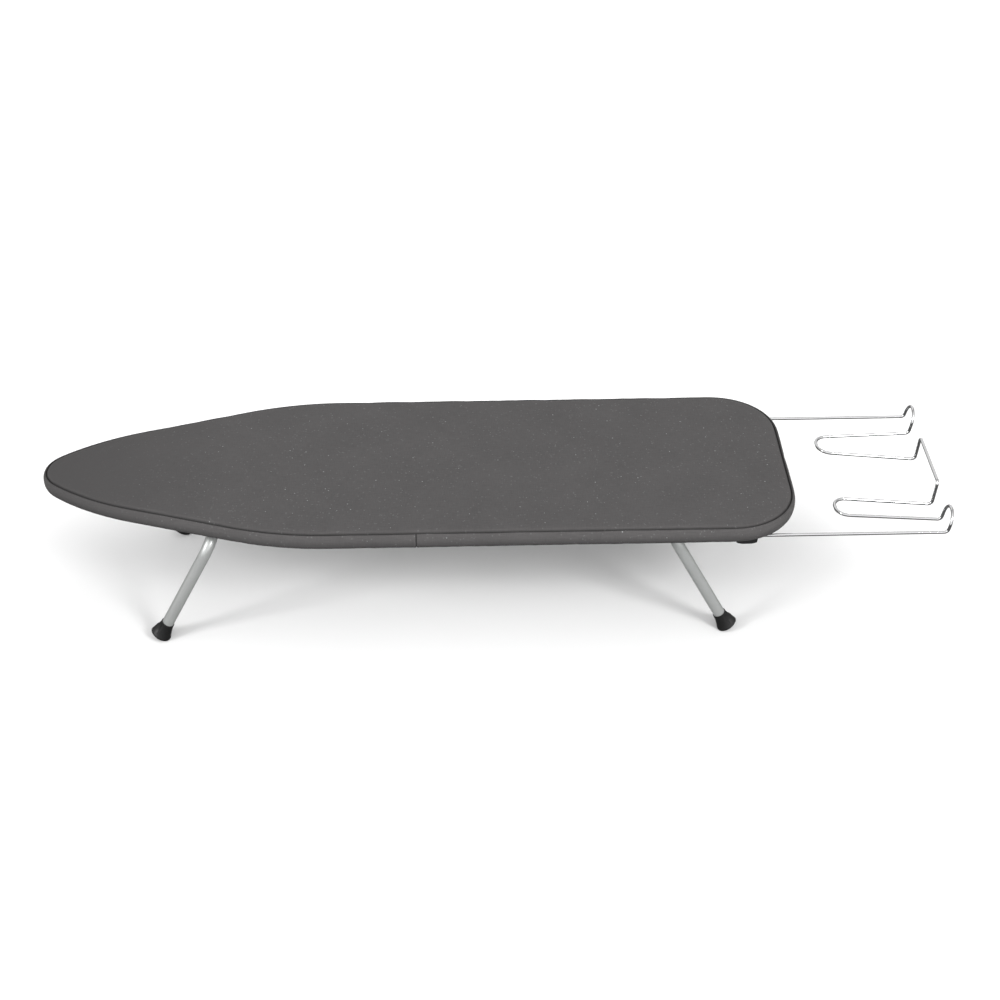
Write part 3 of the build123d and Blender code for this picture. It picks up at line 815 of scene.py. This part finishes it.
def makeDrawstring():
    bm = bmesh.new()
    bm.loops.layers.uv.new("weave")
    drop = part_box("cover_top")[1].z - drawstring["depth"]
    line = []
    for point, inward in zip(points, inwards):
        line.append(point + inward * drawstring["inset"] + Vector((0, 0, drop)))
    line = [(line[i - 1] + line[i] * 2 + line[(i + 1) % len(line)]) / 4 for i in range(len(line))]
    addTube(bm, line, drawstring["radius"], drawstring["sides"], closed=True)
    for turn in (-1, 1):
        radius, sides = drawstring["radius"] * drawstring["endShare"], drawstring["endSides"]
        addTube(bm, knotLoop(line[0], turn), radius, sides, closed=True)
        addTube(bm, knotTail(line[0], turn), radius, sides)
    bmesh.ops.recalc_face_normals(bm, faces=bm.faces)
    return objectFrom(bm, "hemCord")


leg = {
    "pivotHeight": 0.152,
    "pivots": (("front", -1, -0.34938), ("rear", 1, 0.2217)),   # name, way it points, place along X
    "splay": 28.0,           # degrees from upright
    "armReach": 0.115,       # arm to the board's middle plane
}

foot = {
    "steps": 64,
    "ridge": 0.0005,         # raised line down the outer side
    "ridgeAngle": 34.0,      # degrees from square to the board
    "ridgeWidth": 4.5,
    "hollow": 0.0020,        # flattened strip beyond the line
    "hollowEdge": 9.0,
    "hollowWidth": 46.0,
    "lobe": 0.0022,          # the sole is longer on the outer side
    "lobeAngle": 112.0,
    "lobeWidth": 42.0,
    "lobeCore": 0.0100,      # the sole's inner part, closer to the middle than this, stays round
    "soleTop": 0.166,
    "hollowTop": 0.1462,
    "hollowFull": 0.156,
    "hollowEnd": 0.1636,     # it fades out just above the rim
    "hollowFade": 0.004,
    # from inside the collar, over its lip and down the flare to the sole:
    # (radius, distance from the pivot)
    "profile": [
        (0.00752, 0.1500), (0.00752, 0.1446), (0.00765, 0.1443), (0.00790, 0.1442), (0.00825, 0.1443),
        (0.00845, 0.1446), (0.00852, 0.1451), (0.00856, 0.1470), (0.00866, 0.1490), (0.00892, 0.1512),
        (0.00930, 0.1536), (0.00980, 0.1562), (0.01040, 0.1590), (0.01110, 0.1617), (0.01180, 0.1640),
        (0.01222, 0.1653), (0.01238, 0.1660), (0.01232, 0.1665), (0.01205, 0.1668), (0.01100, 0.1673),
        (0.00960, 0.1678), (0.00940, 0.1674), (0.00880, 0.1676), (0.00860, 0.1683), (0.00700, 0.1689),
        (0.00560, 0.1693), (0.00540, 0.1689), (0.00480, 0.1690), (0.00460, 0.1696), (0.00240, 0.1700),
        (0.0, 0.1702),
    ],
}


def shapeFlare(vertex):
    # raised line, the hollow beyond it, and the lobe of the sole
    radius, down = vertex.co.xy.length, -vertex.co.z
    if radius < 1e-6:
        return
    ramp = (down - foot["hollowTop"]) / (foot["hollowFull"] - foot["hollowTop"])
    ramp = min(1.0, max(0.0, ramp))
    lobeRamp = ramp if radius > foot["lobeCore"] or down < foot["soleTop"] else 0.0
    ramp *= min(1.0, max(0.0, (foot["hollowEnd"] - down) / foot["hollowFade"]))
    angle = math.degrees(math.atan2(vertex.co.x, vertex.co.y))
    raised = foot["ridge"] * bell(angle - foot["ridgeAngle"], foot["ridgeWidth"])
    beyond = max(0.0, angle - foot["ridgeAngle"])
    sunk = foot["hollow"] * (1 - bell(beyond, foot["hollowEdge"])) * bell(beyond, foot["hollowWidth"])
    lobe = foot["lobe"] * bell(angle - foot["lobeAngle"], foot["lobeWidth"])
    vertex.co.xy *= 1 + ((raised - sunk) * ramp + lobe * lobeRamp ** 2) / radius


def makeFoot(name, pivotX, end, side):
    bm = bmesh.new()
    verts = [bm.verts.new((radius, 0, -down)) for radius, down in foot["profile"]]
    edges = [bm.edges.new(pair) for pair in zip(verts, verts[1:])]
    bmesh.ops.spin(bm, geom=verts + edges, cent=(0, 0, 0), axis=(0, 0, 1), angle=math.tau,
                   steps=foot["steps"], use_merge=True)
    bmesh.ops.remove_doubles(bm, verts=bm.verts, dist=1e-7)
    for vertex in bm.verts:
        shapeFlare(vertex)
    # local X points out along the board, Y to the side, Z up the leg
    lean = math.radians(leg["splay"])
    outward = Vector((end * math.cos(lean), 0, math.sin(lean)))
    upLeg = Vector((-end * math.sin(lean), 0, math.cos(lean)))
    turn = Matrix((outward, Vector((0, side, 0)), upLeg)).transposed().to_4x4()
    place = Matrix.Translation((pivotX, side * leg["armReach"], leg["pivotHeight"]))
    bmesh.ops.transform(bm, matrix=place @ turn, verts=bm.verts)
    for vertex in bm.verts:
        vertex.co.z = max(vertex.co.z, 0.0)   # the sole is flat where it stands
    bmesh.ops.recalc_face_normals(bm, faces=bm.faces)
    return objectFrom(bm, name)


# finishes: spread holds the darkest and lightest share of the tone, roughness the least and what
# varies, relief a depth in metres and a strength, and a noise its scale and detail

def shadesOf(paint, tone):
    (dark, light), (first, second) = paint["spread"], paint["tints"]
    return grey(tone * dark, first), grey(tone * light, second)


powderPaint = {
    "tone": 0.30,
    "spread": (0.90, 1.08),
    "tints": ((0.97, 0.99, 1.0), (0.98, 1.0, 1.0)),
    "peel": (900.0, 2.0),
    "cloud": (9.0, 4.0),
    "speck": (2600.0, 1.0),
    "speckShare": 0.71,     # noise above this is a speck
    "speckTone": 1.6,
    "roughness": (0.36, 0.14),
    "relief": (0.00005, 0.6),
}


def powderCoat(paint):
    wire = newMaterial("greyPowderCoat")
    place = objectPlace(wire)
    peel = softNoise(wire, place, *paint["peel"])
    cloud = softNoise(wire, place, *paint["cloud"])
    speck = softNoise(wire, place, *paint["speck"]) > paint["speckShare"]
    colour = mixed(wire, cloud, *shadesOf(paint, paint["tone"]))
    colour = mixed(wire, speck * 0.5, colour, grey(paint["tone"] * paint["speckTone"]))
    least, more = paint["roughness"]
    return wire.shade({"Base Color": colour, "Roughness": cloud * more + least, "Metallic": 0.25,
                       "Normal": bumped(wire, peel, *paint["relief"])})


tubePaint = {
    "tone": 0.40,
    "spread": (0.86, 1.14),
    "tints": ((0.975, 1.0, 0.985), (0.975, 1.0, 0.985)),
    "flake": (3200.0, 1.0),
    "cloud": (22.0, 4.0),
    "scuff": (30, 30, 260),
    "scuffRange": (0.62, 0.78),
    "scuffTone": 0.6,
    "roughness": (0.32, 0.08, 0.12),
    "metallic": 0.5,
    "relief": (0.00002, 0.35),
}


def tubeCoat(paint):
    wire = newMaterial("satinSilverCoat")
    place = objectPlace(wire)
    flake = softNoise(wire, place, *paint["flake"])
    cloud = softNoise(wire, place, *paint["cloud"])
    rubbed = softNoise(wire, scaled(wire, place, paint["scuff"]), 1.0, 4.0, 0.7)
    scuff = smoothStep(wire, rubbed, *paint["scuffRange"])
    colour = mixed(wire, flake * 0.6 + cloud * 0.4, *shadesOf(paint, paint["tone"]))
    colour = mixed(wire, scuff * 0.22, colour, grey(paint["tone"] * paint["scuffTone"]))
    least, byCloud, byScuff = paint["roughness"]
    return wire.shade({"Base Color": colour, "Roughness": cloud * byCloud + scuff * byScuff + least,
                       "Metallic": paint["metallic"], "Normal": bumped(wire, flake, *paint["relief"])})


zincPlating = {
    "sheet": (0.52, (260, 30, 260)),      # tone and noise scales of the rolling streaks
    "rivets": (0.60, (400, 400, 400)),
    "spread": (0.82, 1.14),
    "tints": ((1.0, 1.0, 1.02), (1.0, 0.995, 0.98)),
    "spangle": 260.0,
    "roughness": (0.24, 0.20),
    "relief": (0.00003, 0.4),
}


def zincPlate(name, paint, tone, streaks):
    wire = newMaterial(name)
    place = objectPlace(wire)
    rolled = softNoise(wire, scaled(wire, place, streaks), 1.0, 4.0, 0.65)
    patch = axisOf(wire, cellsOf(wire, {"Vector": place, "Scale": paint["spangle"]}, "Color"), 0)
    blend = rolled * 0.65 + patch * 0.35
    colour = mixed(wire, blend, *shadesOf(paint, tone))
    least, more = paint["roughness"]
    return wire.shade({"Base Color": colour, "Roughness": blend * more + least, "Metallic": 0.95,
                       "Normal": bumped(wire, rolled, *paint["relief"])})


chromePlating = {
    "tone": 0.60,
    "spread": (0.94, 1.04),
    "tints": ((0.98, 0.99, 1.0), (1, 1, 1)),
    "haze": (60.0, 4.0, 0.6),
    "drawn": (40, 900, 900),
    "roughness": (0.05, 0.08, 0.04),
    "relief": (0.00001, 0.25),
}


def chromePlate(paint):
    wire = newMaterial("brightChrome")
    place = objectPlace(wire)
    haze = softNoise(wire, place, *paint["haze"])
    drawn = softNoise(wire, scaled(wire, place, paint["drawn"]), 1.0, 2.0)
    colour = mixed(wire, haze, *shadesOf(paint, paint["tone"]))
    least, byHaze, byDrawing = paint["roughness"]
    return wire.shade({"Base Color": colour, "Roughness": haze * byHaze + drawn * byDrawing + least,
                       "Metallic": 1.0, "Normal": bumped(wire, drawn, *paint["relief"])})


blackPlastic = {
    "feet": (0.008, 2400.0, 0.40),        # tone, grain scale, least roughness
    "fittings": (0.010, 1900.0, 0.42),
    "spread": (0.8, 1.3),
    "tints": ((1, 1, 1), (1.0, 1.0, 1.03)),
    "cloud": (45.0, 4.0),
    "scratch": (90, 700, 120),
    "scratchRange": (0.63, 0.75),
    "scratchTone": 3.5,
    "roughness": (0.12, 0.1),     # added by cloud and scratches
    "relief": (0.00006, 0.45),
}


def mouldedBlack(name, paint, tone, grain, roughness):
    wire = newMaterial(name)
    place = objectPlace(wire)
    pebble = cellsOf(wire, {"Vector": place, "Scale": grain}, "Distance", {"feature": "SMOOTH_F1"})
    cloud = softNoise(wire, place, *paint["cloud"])
    worn = softNoise(wire, scaled(wire, place, paint["scratch"]), 1.0, 5.0, 0.7)
    scratch = smoothStep(wire, worn, *paint["scratchRange"])
    colour = mixed(wire, cloud, *shadesOf(paint, tone))
    colour = mixed(wire, scratch * 0.3, colour, grey(tone * paint["scratchTone"]))
    byCloud, byScratch = paint["roughness"]
    return wire.shade({"Base Color": colour, "Roughness": cloud * byCloud + scratch * byScratch + roughness,
                       "Normal": bumped(wire, pebble, *paint["relief"]), "Specular IOR Level": 0.28})


feltFibre = {
    "tone": 0.66,
    "spread": (0.78, 1.12),
    "tints": ((1.0, 0.97, 0.92), (1.0, 0.98, 0.94)),
    "fibre": (300, 1100, 800),
    "cloud": (30.0, 4.0),
    "needling": 420.0,
    "relief": (0.0003, 0.8),
}


def needledFelt(paint):
    wire = newMaterial("needledFelt")
    place = objectPlace(wire)
    fibre = softNoise(wire, scaled(wire, place, paint["fibre"]), 1.0, 5.0, 0.75)
    cloud = softNoise(wire, place, *paint["cloud"])
    pick = cellsOf(wire, {"Vector": place, "Scale": paint["needling"]}, "Distance")
    colour = mixed(wire, fibre * 0.7 + cloud * 0.3, *shadesOf(paint, paint["tone"]))
    return wire.shade({"Base Color": colour, "Roughness": 0.95, "Sheen Weight": 0.3,
                       "Normal": bumped(wire, fibre + pick * 0.5, *paint["relief"])})


cordBraid = {
    "tone": 0.50,
    "spread": (0.62, 1.12),
    "tints": ((1.0, 0.98, 0.94), (1.0, 0.98, 0.95)),
    "pace": 2600.0,
    "fibre": (2500, 9000, 1),
    "relief": (0.0002, 0.7),
}


def braidedCord(paint):
    wire = newMaterial("braidedCord")
    cord = wire.add("UVMap", {"uv_map": "weave"}, {})
    along, around = axisOf(wire, cord, 0), axisOf(wire, cord, 1)
    pace = paint["pace"]
    plait = wire.math("SINE", (along + around) * pace) * wire.math("SINE", (along - around) * pace)
    fibre = softNoise(wire, scaled(wire, cord, paint["fibre"]), 1.0, 3.0)
    colour = mixed(wire, plait * 0.35 + fibre * 0.3 + 0.35, *shadesOf(paint, paint["tone"]))
    return wire.shade({"Base Color": colour, "Roughness": 0.85,
                       "Normal": bumped(wire, plait + fibre * 0.5, *paint["relief"])})


threadPly = {
    "tone": 0.035,
    "spread": (0.6, 1.5),
    "tints": ((1, 1, 1), (1, 1, 1)),
    "pace": 9000.0,
    "fibre": (3000.0, 2.0),
    "relief": (0.00005, 0.5),
}


def sewingThread(paint):
    wire = newMaterial("sewingThread")
    place = objectPlace(wire)
    ply = wire.math("SINE", axisOf(wire, place, 0) * paint["pace"])
    fibre = softNoise(wire, place, *paint["fibre"])
    colour = mixed(wire, ply * 0.25 + fibre * 0.5 + 0.2, *shadesOf(paint, paint["tone"]))
    return wire.shade({"Base Color": colour, "Roughness": 0.55,
                       "Normal": bumped(wire, ply, *paint["relief"])})


guide = {
    "bossTop": 0.1565,    # just under the rail
    "bossDepth": 0.0040,
    "taper": 0.42,        # how much narrower the boss ends
    "rounding": 0.0006,
}


def makeGuide(cadName, name):
    # the outer rail guide with its lower boss drawn in to a short rounded foot
    bm = bmesh.new()
    bm.from_mesh(cadNodes[cadName].data)
    bmesh.ops.remove_doubles(bm, verts=bm.verts, dist=1e-6)
    lower = [vertex for vertex in bm.verts if vertex.co.z < guide["bossTop"]]
    bottom = min(vertex.co.z for vertex in lower)
    middle = (min(vertex.co.x for vertex in lower) + max(vertex.co.x for vertex in lower)) / 2
    for vertex in lower:
        share = (guide["bossTop"] - vertex.co.z) / (guide["bossTop"] - bottom)
        vertex.co.z = guide["bossTop"] - share * guide["bossDepth"]
        vertex.co.x = middle + (vertex.co.x - middle) * (1 - guide["taper"] * share ** 2)
    return objectFrom(bm, name)


def soften(piece, width, segments=2):
    # rounds a hard piece's edges a little
    weld = piece.modifiers.new("weld", "WELD")
    weld.merge_threshold = 0.00001
    bevel = piece.modifiers.new("edges", "BEVEL")
    bevel.width, bevel.segments, bevel.limit_method = width, segments, "ANGLE"
    bevel.angle_limit = math.radians(38)
    shading = piece.modifiers.new("shading", "WEIGHTED_NORMAL")
    shading.keep_sharp = True


addCamera(cameraSettings)
addFloor(studio)
addLights(studio)

points, inwards, step = edgeLine(cover["spacing"])
print("edge line of", len(points), "points")
coverCloth = wovenCover(weave)
coverTop, coverSideBand = makeCover()
finishPiece(coverTop, "board", coverCloth, ["cover_top"])
finishPiece(coverSideBand, "board", coverCloth, ["cover_side_band"])
coverStitches = makeStitches()
finishPiece(coverStitches, "board", sewingThread(threadPly))
print("cover sewn")

feltPad = makePad()
finishPiece(feltPad, "board", needledFelt(feltFibre), ["underlay_pad"])
hemCord = makeDrawstring()
finishPiece(hemCord, "board", braidedCord(cordBraid), ["hem_drawstring"])
print("pad and drawstring made")

footPlastic = mouldedBlack("blackSoftPlastic", blackPlastic, *blackPlastic["feet"])
for where, end, pivotX in leg["pivots"]:
    for side, hand in ((-1, "left"), (1, "right")):
        cap = makeFoot(f"{where}{hand.capitalize()}FootCap", pivotX, end, side)
        finishPiece(cap, f"{where}_leg", footPlastic, [f"{where}_{hand}_foot"])
print("feet made")

finishes = {
    "panel_paint": powderCoat(powderPaint),
    "channel_steel": zincPlate("zincSheet", zincPlating, *zincPlating["sheet"]),
    "rivet_steel": zincPlate("zincRivets", zincPlating, *zincPlating["rivets"]),
    "leg_tube_steel": tubeCoat(tubePaint),
    "rest_chrome": chromePlate(chromePlating),
    "fitting_plastic": mouldedBlack("blackMouldedPlastic", blackPlastic, *blackPlastic["fittings"]),
}
for hand in ("left", "right"):
    cadName = f"{hand}_outer_rail_guide"
    outerGuide = makeGuide(cadName, f"{hand}OuterGuide")
    finishPiece(outerGuide, "board", finishes["fitting_plastic"], [cadName])
    soften(outerGuide, guide["rounding"])
hardEdges = {"fitting_plastic": 0.0004, "channel_steel": 0.0003}   # rounding of the other fittings
for name, piece in cadNodes.items():
    slotName = piece.data.materials[0].name.split(".")[0]
    if slotName in finishes:
        piece.data.materials.clear()
        piece.data.materials.append(finishes[slotName])
        if slotName in hardEdges:
            soften(piece, hardEdges[slotName])
print("finishes set")
